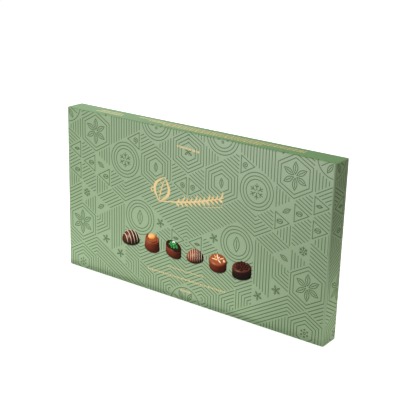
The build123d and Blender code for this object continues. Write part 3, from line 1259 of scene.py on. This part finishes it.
def over_dome(radius, height, skirt, offset, degrees, wobble):
    """A path over a ball's cap, beside its middle by an offset and turned, with a light wobble."""
    ball = ball_radius(radius, height, skirt)
    reach = sqrt(max(0.0, (radius - BEAD_INSET) ** 2 - offset**2))
    path = []
    for step in range(BEAD_STEPS + 1):
        along = -reach + 2 * reach * step / BEAD_STEPS
        beside = offset + wobble * sin(3.1 * step + 5 * offset)
        z = height - ball + sqrt(max(0.0, ball**2 - along**2 - beside**2)) + BEAD_RISE
        place = complex(along, beside) * turn(degrees)
        path.append((place.real * MM, place.imag * MM, z * MM))
    return path


def striped(name, ball, offsets, degrees, wobble, thickness):
    """Icing piped to and fro over a ball's cap, all in one direction."""
    paths = [over_dome(*ball, offset, degrees, wobble) for offset in offsets]
    return piped(name, paths, thickness * MM, cream_icing)


# %% [markdown]
# Crumbs and nibs are broken, so each is a small ball whose points are moved in and out at random. A
# sunflower's spiral spreads them evenly without rows.

# %% Small bits
BIT_STRETCH = 1.25
FULL_TURN = 6.28
# The angle between one seed of a sunflower and the next
GOLDEN_ANGLE = 137.508


def bits(name, places, finish, squash=0.7, jag=0.25):
    """Small broken pieces at places given as x, y, z and size in millimetres, as one mesh."""
    mesh = bpy.data.meshes.new(name)
    whole = bmesh.new()
    for x, y, z, size in places:
        spin = Matrix.Rotation(seeded.uniform(0, FULL_TURN), 4, "Z")
        spin = spin @ Matrix.Rotation(seeded.uniform(-0.5, 0.5), 4, "X")
        made = bmesh.ops.create_icosphere(whole, subdivisions=1, radius=size / 2 * MM)
        for vertex in made["verts"]:
            vertex.co *= 1 + seeded.uniform(-jag, jag)
            vertex.co.x *= BIT_STRETCH
            vertex.co.z *= squash
            vertex.co = spin @ vertex.co + Vector((x, y, z)) * MM
    whole.to_mesh(mesh)
    whole.free()
    mesh.materials.append(finish)
    return placed(name, mesh)


def sunflower(count, length, width, z, sizes):
    """Places on a sunflower spiral inside an oval, in millimetres."""
    for number in range(count):
        spot = sqrt((number + 0.5) / count) * turn(GOLDEN_ANGLE * number)
        yield spot.real * length / 2, spot.imag * width / 2, z, seeded.uniform(*sizes)


# %% [markdown]
# The kinds: a dark half ball with cream stripes, a milk cup with a hazelnut, a milk oval with a dark
# glaze and green crumbs, a milk half ball with fine lines, a milk pillow with pale flakes, and a dark
# barrel with a rough crust.

# %% The six bodies
# Radius, height and skirt of the two half balls, in millimetres
DARK_BALL, MILK_BALL = (15, 15, 2), (14.5, 14, 2)
CUP_SIDE = (
    (13.2, 0), (13.5, 0.4), (12.9, 7), (12.4, 12.4), (12.0, 13.4), (11.3, 13.9), (10.4, 13.6),
    (9.4, 13.1), (8.4, 13.5), (7.4, 13.9), (6.4, 13.4), (5.4, 13.7), (0.8, 13.9),
)
GLAZE_FROM = 12.6 * MM
bodies = {
    "dark_ball": drawn_up("dark_ball", domed(*DARK_BALL)),
    "milk_ball": drawn_up("milk_ball", domed(*MILK_BALL)),
    "milk_cup": drawn_up("milk_cup", CUP_SIDE),
    "dark_oval": drawn_up("dark_oval", rounded_top(15.5, 14.5, 2.6), width_share=12.5 / 15.5),
    "milk_pillow": drawn_up("milk_pillow", rounded_top(15, 13, 3.2), width_share=13 / 15),
    "dark_barrel": drawn_up("dark_barrel", rounded_top(14, 14.5, 2.2)),
}
for kind, body in bodies.items():
    dress(body, dark_chocolate if kind in ("dark_ball", "dark_barrel") else milk_chocolate)
dress(bodies["dark_oval"], milk_chocolate, dark_chocolate)
for face in bodies["dark_oval"].data.polygons:
    face.material_index = 1 if face.center.z > GLAZE_FROM else 0
print("faces of the bodies", {kind: len(body.data.polygons) for kind, body in bodies.items()})

# %% Their toppings
NUT_SIDE = (
    (4.6, 13.4), (5.6, 14.2), (6.0, 15.4), (5.9, 16.6), (5.4, 17.7), (4.6, 18.5), (3.5, 19.0),
    (2.2, 19.2), (0.5, 19.3),
)
toppings = {
    "dark_ball": striped("ball_stripes", DARK_BALL, (-10.5, -6.3, -2.1, 2.1, 6.3, 10.5), 20, 0.12, 1.5),
    "milk_ball": striped("ball_lines", MILK_BALL, [2.6 * (k - 4) for k in range(9)], -35, 0.18, 0.95),
    "milk_cup": drawn_up("hazelnut_half", NUT_SIDE, sides=36, width_share=0.82),
}
dress(toppings["milk_cup"], roasted_nut)
# How many furrows run down the nut, how deep they are, and how much and over what length they wander
FURROWS, FURROW_DEPTH, FURROW_WANDER, FURROW_PATCH = 9, 0.035, 3, 3 * MM
for vertex in toppings["milk_cup"].data.vertices:
    way = cmath.phase(complex(vertex.co.x, vertex.co.y))
    wander = FURROW_WANDER * noise.noise(vertex.co / FURROW_PATCH)
    furrow = 1 + FURROW_DEPTH * sin(FURROWS * way + wander)
    vertex.co.x *= furrow
    vertex.co.y *= furrow
crumb_places = sunflower(26, 17, 12, 14.6, (1.5, 2.7))
toppings["dark_oval"] = bits("oval_crumbs", crumb_places, pistachio, 0.65)
crust_places = sunflower(48, 21.5, 21.5, 14.7, (2.6, 4.0))
toppings["dark_barrel"] = bits("barrel_crust", crust_places, cocoa_nib, 0.5, 0.32)

# Place across and up, turn and length of each flake, and how it is stretched and curled up
FLAKES = (
    (0, 0, 0, 8.5), (2.5, 2.2, 35, 7.5), (-3.4, 1.8, 120, 7.0), (3.0, -2.6, 160, 6.5), (-2.2, -2.8, 60, 7.0)
)
FLAKE_STRETCH = 1.9
FLAKE_CURL = 0.36 * MM
made_flakes = []
for x, y, degrees, size in FLAKES:
    flake_side = [(0.9 * size / 4, 12.75), (size / 4, 12.95), (size / 4.6, 13.55)]
    flake = drawn_up("flake", flake_side, 14, 0.42)
    place = Matrix.Translation((x * MM, y * MM, 0)) @ Matrix.Rotation(radians(degrees), 4, "Z")
    for vertex in flake.data.vertices:
        vertex.co.x *= FLAKE_STRETCH
        vertex.co.z += FLAKE_CURL * (vertex.co.x / (size * MM / 2)) ** 2
        vertex.co = place @ vertex.co
    made_flakes.append(flake)
open_up(made_flakes[0], "OBJECT")
for flake in made_flakes:
    flake.select_set(True)
bpy.ops.object.join()
toppings["milk_pillow"] = bpy.context.object
toppings["milk_pillow"].name = "pillow_flakes"
dress(toppings["milk_pillow"], pale_flake)
print("faces of the toppings", {kind: len(thing.data.polygons) for kind, thing in toppings.items()})

# %% [markdown]
# In the box a chocolate lies with its top towards the front panel. A copy's mesh is laid down and
# moved to its seat, and rides on its own body, so that it lifts out by itself.

# %% Copies at their places
# Kind: its topping's node, its own slot and its topping's slot
TOPPED = {
    "dark_ball": ("ball_stripes", "dark_chocolate", "white_icing"),
    "milk_cup": ("hazelnut_half", "milk_chocolate", "hazelnut"),
    "dark_oval": ("oval_crumbs", "dark_chocolate", "green_crumb"),
    "milk_ball": ("ball_lines", "milk_chocolate", "white_icing"),
    "milk_pillow": ("pillow_flakes", "milk_chocolate", "pale_flake"),
    "dark_barrel": ("barrel_crust", "dark_chocolate", "nib_crust"),
}
ROWS = 4
LAID_DOWN = Matrix(((1, 0, 0, 0), (0, 0, -1, 0), (0, 1, 0, 0), (0, 0, 0, 1)))


def copied(name, source, place):
    """A copy with its own mesh, moved by a matrix."""
    mesh = source.data.copy()
    mesh.transform(place)
    return placed(name, mesh)


for kind, body in bodies.items():
    topping_node, body_slot, topping_slot = TOPPED[kind]
    for row in range(1, ROWS + 1):
        node = f"{kind}_{row}"
        low, high = (Vector(corner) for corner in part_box(node))
        seat = Matrix.Translation(((low.x + high.x) / 2, high.y, (low.z + high.z) / 2)) @ LAID_DOWN
        for source, replaced, slot, label in (
            (body, node, body_slot, "moulded"),
            (toppings[kind], f"{topping_node}_{row}", topping_slot, "added"),
        ):
            piece = copied(f"{label}_{replaced}", source, seat)
            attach(piece, node)
            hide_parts(replaced)
print("chocolates", ROWS * len(bodies))

# %% [markdown]
# ## Printed pictures
# Six small photographs of the chocolates are printed in a row on the front. Each is made from the
# model itself: a copy is turned to the viewer, its light is worked out from a lamp at the upper left
# and kept on its points, and then it is pressed flat, to a few hundredths of a millimetre, on the
# board. So it has the shading of a photograph, and still lies flat and takes the room's light as ink.
# Every finish of the chocolates has an ink of its own with a dark, a middle and a bright tone and one
# for the gleam. Two bodies are printed darker than the chocolates in the trays.


# %% Printed finishes
PICTURE_ROUGHNESS = 0.6
PICTURE_GLOSS = 0.06


def picture_ink(name, shadow, middle, bright, gleam):
    """Ink whose tone follows the light kept on the points of a pressed model."""
    material, tree, shader, place = new_material(name, PICTURE_ROUGHNESS, PAPER_IOR)
    shader.inputs["Specular IOR Level"].default_value = PICTURE_GLOSS
    light = add_node(tree, "ShaderNodeAttribute", attribute_name="light").outputs["Fac"]
    shine = add_node(tree, "ShaderNodeAttribute", attribute_name="shine").outputs["Fac"]
    tones = add_node(tree, "ShaderNodeValToRGB", {"Fac": light})
    tones.color_ramp.elements[0].color = linear(shadow)
    tones.color_ramp.elements[1].color = linear(bright)
    tones.color_ramp.elements.new(0.5).color = linear(middle)
    gleaming = {"Factor": shine, "A": tones.outputs["Color"], "B": linear(gleam)}
    lit = add_node(tree, "ShaderNodeMix", gleaming, data_type="RGBA")
    grain = mottle(tree, place, 0.8 * MM, 0.94, 1.06, 3.0)
    tree.links.new(shaded(tree, lit.outputs["Result"], grain), shader.inputs["Base Color"])
    return material


PICTURE_INKS = {
    dark_chocolate.name: picture_ink("picture_dark_chocolate", "#0D0503", "#27120A", "#6A3525", "#D8B8A4"),
    milk_chocolate.name: picture_ink("picture_milk_chocolate", "#280C05", "#6C2C17", "#B05C35", "#F0C8AC"),
    cream_icing.name: picture_ink("picture_cream_icing", "#6B5643", "#C0A98A", "#F4E6CF", "#FFFFFF"),
    roasted_nut.name: picture_ink("picture_hazelnut", "#8A4010", "#DC8436", "#FFC983", "#FFF2DE"),
    pistachio.name: picture_ink("picture_pistachio", "#063A12", "#128A32", "#5CD070", "#D9FFD8"),
    pale_flake.name: picture_ink("picture_pale_flake", "#A04A18", "#E9B27A", "#FFF3E0", "#FFFFFF"),
    cocoa_nib.name: picture_ink("picture_cocoa_nib", "#070201", "#1C0A05", "#6A3020", "#D0A088"),
}
DEEP_MILK = picture_ink("picture_deep_milk_chocolate", "#140502", "#40170D", "#A04E30", "#E8C0A4")
DARK_GLAZE = picture_ink("picture_dark_glaze", "#0A0402", "#180904", "#35170E", "#C8A090")
SUGAR = picture_ink("picture_sugar", "#B8B0A4", "#EFEAE2", "#FFFFFF", "#FFFFFF")
BODY_INKS = {"milk_ball": {0: DEEP_MILK}, "dark_oval": {1: DARK_GLAZE}}
printed_shadow = board_finish("picture_shadow", "#4B6142", PICTURE_ROUGHNESS, 0.02)
PICTURE_LAMP = Vector((-0.5, -0.15, 0.85)).normalized()
# Shares of the light from the lamp and from the viewer, and strength and sharpness of the gleam
FROM_LAMP, FROM_VIEWER, GLEAM, GLEAM_SHARPNESS = 0.9, 0.1, 0.55, 90
print("picture inks", [ink.name for ink in (*PICTURE_INKS.values(), DEEP_MILK, DARK_GLAZE, SUGAR)])


def keep_light(thing, view):
    """Keeps each point's light and shine, seen from a direction, as two attributes."""
    light = thing.data.attributes.new("light", "FLOAT", "POINT")
    shine = thing.data.attributes.new("shine", "FLOAT", "POINT")
    ways = (PICTURE_LAMP, view, (PICTURE_LAMP + view).normalized())
    for vertex in thing.data.vertices:
        to_lamp, to_viewer, to_gleam = (max(0.0, vertex.normal @ way) for way in ways)
        light.data[vertex.index].value = FROM_LAMP * to_lamp + FROM_VIEWER * to_viewer
        shine.data[vertex.index].value = GLEAM * to_gleam**GLEAM_SHARPNESS


# %% [markdown]
# The picture looks down on its chocolate by 35 degrees. Pressing keeps what is nearer to the viewer
# higher, by a tiny share, so that nearer parts still cover the ones behind. A second copy of the
# body, pressed thinner and a little lower, is the printed shadow. A picture is only 20 mm wide, so
# some toppings are drawn bolder for it: fewer and thicker stripes, larger crumbs, a ridged swirl
# under the nut and a few pale bits for the gleam of sugar.

# %% Toppings drawn bolder for the pictures
nut_shift = Matrix.Translation((0.4 * MM, 2.4 * MM, 0))
picture_toppings = {
    **toppings,
    "dark_ball": striped("printed_stripes", DARK_BALL, (-12.4, -6.8, -1.2, 4.4, 10.0), 20, 0.1, 1.35),
    "milk_ball": striped("printed_lines", MILK_BALL, [3.7 * (k - 3) + 0.8 for k in range(7)], -35, 0.3, 0.9),
    "dark_oval": bits("printed_crumbs", sunflower(15, 18, 14, 15.0, (2.4, 4.0)), pistachio),
    "dark_barrel": bits("printed_crust", sunflower(22, 20, 20, 15.2, (4.0, 5.6)), cocoa_nib, 0.6, 0.34),
    "milk_cup": copied("printed_nut", toppings["milk_cup"], nut_shift),
}


def ring(radius, height, count=36):
    """A closed path round the middle, in millimetres."""
    spots = [turn(360 * step / count) * radius for step in range(count + 1)]
    return [(spot.real * MM, spot.imag * MM, height * MM) for spot in spots]


nut_bits = [(-3.4, 1.0, 13.8, 4.6), (-1.0, -3.6, 13.8, 3.8), (-5.2, 4.4, 13.8, 3.2)]
swirl = piped("printed_swirl", [ring(11.0, 14.2), ring(8.0, 14.6)], 2.2 * MM, milk_chocolate)
extras = {
    "dark_oval": [bits("sugar_bit", [(0.3, 7.2, 15.0, 6.0)], SUGAR, 0.5, 0.08)],
    "milk_cup": [swirl],
    "milk_pillow": [
        bits("nut_bits", nut_bits, roasted_nut, 0.6),
        bits("gleam_bit", [(9.8, -1.6, 12.6, 5.4)], pale_flake, 0.3, 0.1),
    ],
}
print("toppings of the pictures", [thing.name for thing in picture_toppings.values()])

# %% Sizes and places of the pictures
# Heights over the panel: where the shadow and the picture start, and how thick they stay
SHADOW_BASE = INK + 0.002 * MM
SHADOW_ROOM = 0.004 * MM
PICTURE_BASE = INK + 0.01 * MM
PICTURE_ROOM = 0.03 * MM
# The pictures look down by this angle, and their shadows fall this far below them
VIEW_DOWN = radians(35)
SHADOW_DROP = 0.7 * MM
# Kind, place across and up, width, share of its true height, turn, lean and how much the topping grows
PICTURES = (
    ("dark_ball", -75.3, 54.9, 25.0, 0.92, 92, 0.16, 1.0),
    ("milk_cup", -45.7, 55.6, 20.7, 1.06, 20, 0.02, 1.2),
    ("dark_oval", -16.7, 55.4, 20.9, 0.92, 115, 0.0, 1.0),
    ("milk_ball", 11.8, 55.2, 22.0, 0.98, 128, 0.16, 1.0),
    ("milk_pillow", 40.9, 54.8, 21.8, 1.03, 60, 0.0, 1.5),
    ("dark_barrel", 70.3, 54.8, 23.3, 0.91, 0, 0.16, 1.0),
)
towards_viewer = Vector((0, -cos(VIEW_DOWN), sin(VIEW_DOWN)))
up_in_view = Vector((0, sin(VIEW_DOWN), cos(VIEW_DOWN)))
print("pictures of", [kind for kind, *_ in PICTURES])

# %% Press the pictures on the front
pictures = []
for kind, x, z, width, tall, degrees, lean, larger in PICTURES:
    round_turn = Matrix.Rotation(radians(degrees), 4, "Z")
    grown = Matrix.Diagonal((larger, larger, 1, 1))
    body, shadow = (copied("picture_part", bodies[kind], round_turn) for _ in range(2))
    topping = copied("picture_part", picture_toppings[kind], round_turn @ grown)
    parts = [body, topping, *(copied("picture_part", extra, Matrix()) for extra in extras.get(kind, []))]
    for part in parts:
        part.data.update()
        keep_light(part, towards_viewer)
        for number, finish in enumerate(part.data.materials):
            part.data.materials[number] = PICTURE_INKS.get(finish.name, finish)
    for number, ink in BODY_INKS.get(kind, {}).items():
        body.data.materials[number] = ink
    dress(shadow, printed_shadow)
    across_all = [vertex.co.x for vertex in body.data.vertices]
    scale = width * MM / (max(across_all) - min(across_all))
    seen = {
        part: [(v.co.x, v.co @ up_in_view, v.co @ towards_viewer) for v in part.data.vertices]
        for part in (*parts, shadow)
    }
    everything = [spot for part in parts for spot in seen[part]]
    low, high = min(up for _, up, _ in everything), max(up for _, up, _ in everything)
    near_end, far_end = max(depth for *_, depth in everything), min(depth for *_, depth in everything)
    for part, spots in seen.items():
        bottom, room, drop = (PICTURE_BASE, PICTURE_ROOM, 0)
        if part is shadow:
            bottom, room, drop = (SHADOW_BASE, SHADOW_ROOM, SHADOW_DROP)
        for vertex, (side, up, depth) in zip(part.data.vertices, spots):
            pressed = bottom + room * (depth - far_end) / (near_end - far_end)
            level = z * MM + ((up - (low + high) / 2) * tall + lean * side) * scale - drop
            vertex.co = (x * MM + side * scale, FRONT - pressed, level)
        part.data.update()
    open_up(body, "OBJECT")
    for part in (*parts, shadow):
        part.select_set(True)
    bpy.ops.object.join()
    picture = bpy.context.object
    picture.name = f"picture_of_{kind}"
    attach(picture, "lid")
    pictures.append(picture)
more = [extra for some in extras.values() for extra in some]
for source in {*bodies.values(), *toppings.values(), *picture_toppings.values(), *more}:
    bpy.data.objects.remove(source)
print("pictures", [picture.name for picture in pictures])

# %% [markdown]
# ## Corrugated pad
# A loose sheet of fluted brown paper lies over the chocolates. A flat plane is cut into narrow
# strips, its cut lines are moved up and down along a wave, and Solidify gives it the paper's
# thickness.

# %% Fluted pad
PAPER = 0.25 * MM
FLUTE = 4.2 * MM
STEPS_PER_FLUTE = 8
PAD_ROOM = 0.02 * MM
pad_low, pad_high = (Vector(corner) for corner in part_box("corrugated_pad"))
pad_middle = (pad_low + pad_high) / 2
flutes = round((pad_high.x - pad_low.x) / FLUTE)
pad = started(
    "fluted_pad", bpy.ops.mesh.primitive_grid_add, x_subdivisions=flutes * STEPS_PER_FLUTE, y_subdivisions=1,
    size=2, location=pad_middle, rotation=(pi / 2, 0, 0),
)
bpy.ops.transform.resize(
    value=((pad_high.x - pad_low.x) / 2, 1, (pad_high.z - pad_low.z) / 2), center_override=pad_middle
)
open_up(pad, "OBJECT")
swing = (pad_high.y - pad_low.y - PAPER) / 2 - PAD_ROOM
for vertex in pad.data.vertices:
    share = (vertex.co.x - pad_low.x) / (pad_high.x - pad_low.x)
    vertex.co.y = pad_middle.y + swing * cos(2 * pi * flutes * share)
face_out(pad)
modify(pad, "SOLIDIFY", thickness=PAPER, offset=0)
smooth(pad, degrees=50)
kraft = mottled_finish(
    "fluted_kraft_paper", "#6B4630", 0.8, PAPER_IOR,
    ((1.2 * MM, 0.9, 1.1, 4.0),), (0.8 * MM, 3.0, 0.03 * MM),
)
dress(pad, kraft)
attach(pad, "pad")
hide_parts("corrugated_pad")
print("pad flutes", flutes)

# %% [markdown]
# ## Formed trays
# The trays keep their solids, whose shape is right. The real ones are thermoformed from thin gold
# coloured PET: smooth, with a broad satin gloss and a faint waviness where the hot sheet was drawn.

# %% Tray finish
tray_sheet = mottled_finish(
    "thermoformed_gold_pet", "#C9A24E", 0.28, 1.57,
    ((15 * MM, 0.92, 1.06),), (8 * MM, 2.0, 0.25 * MM), metallic=0.6,
)
for name in ("tray_1", "tray_2"):
    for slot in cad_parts[name].material_slots:
        slot.material = tray_sheet
    print(name, [slot.material.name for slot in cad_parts[name].material_slots])
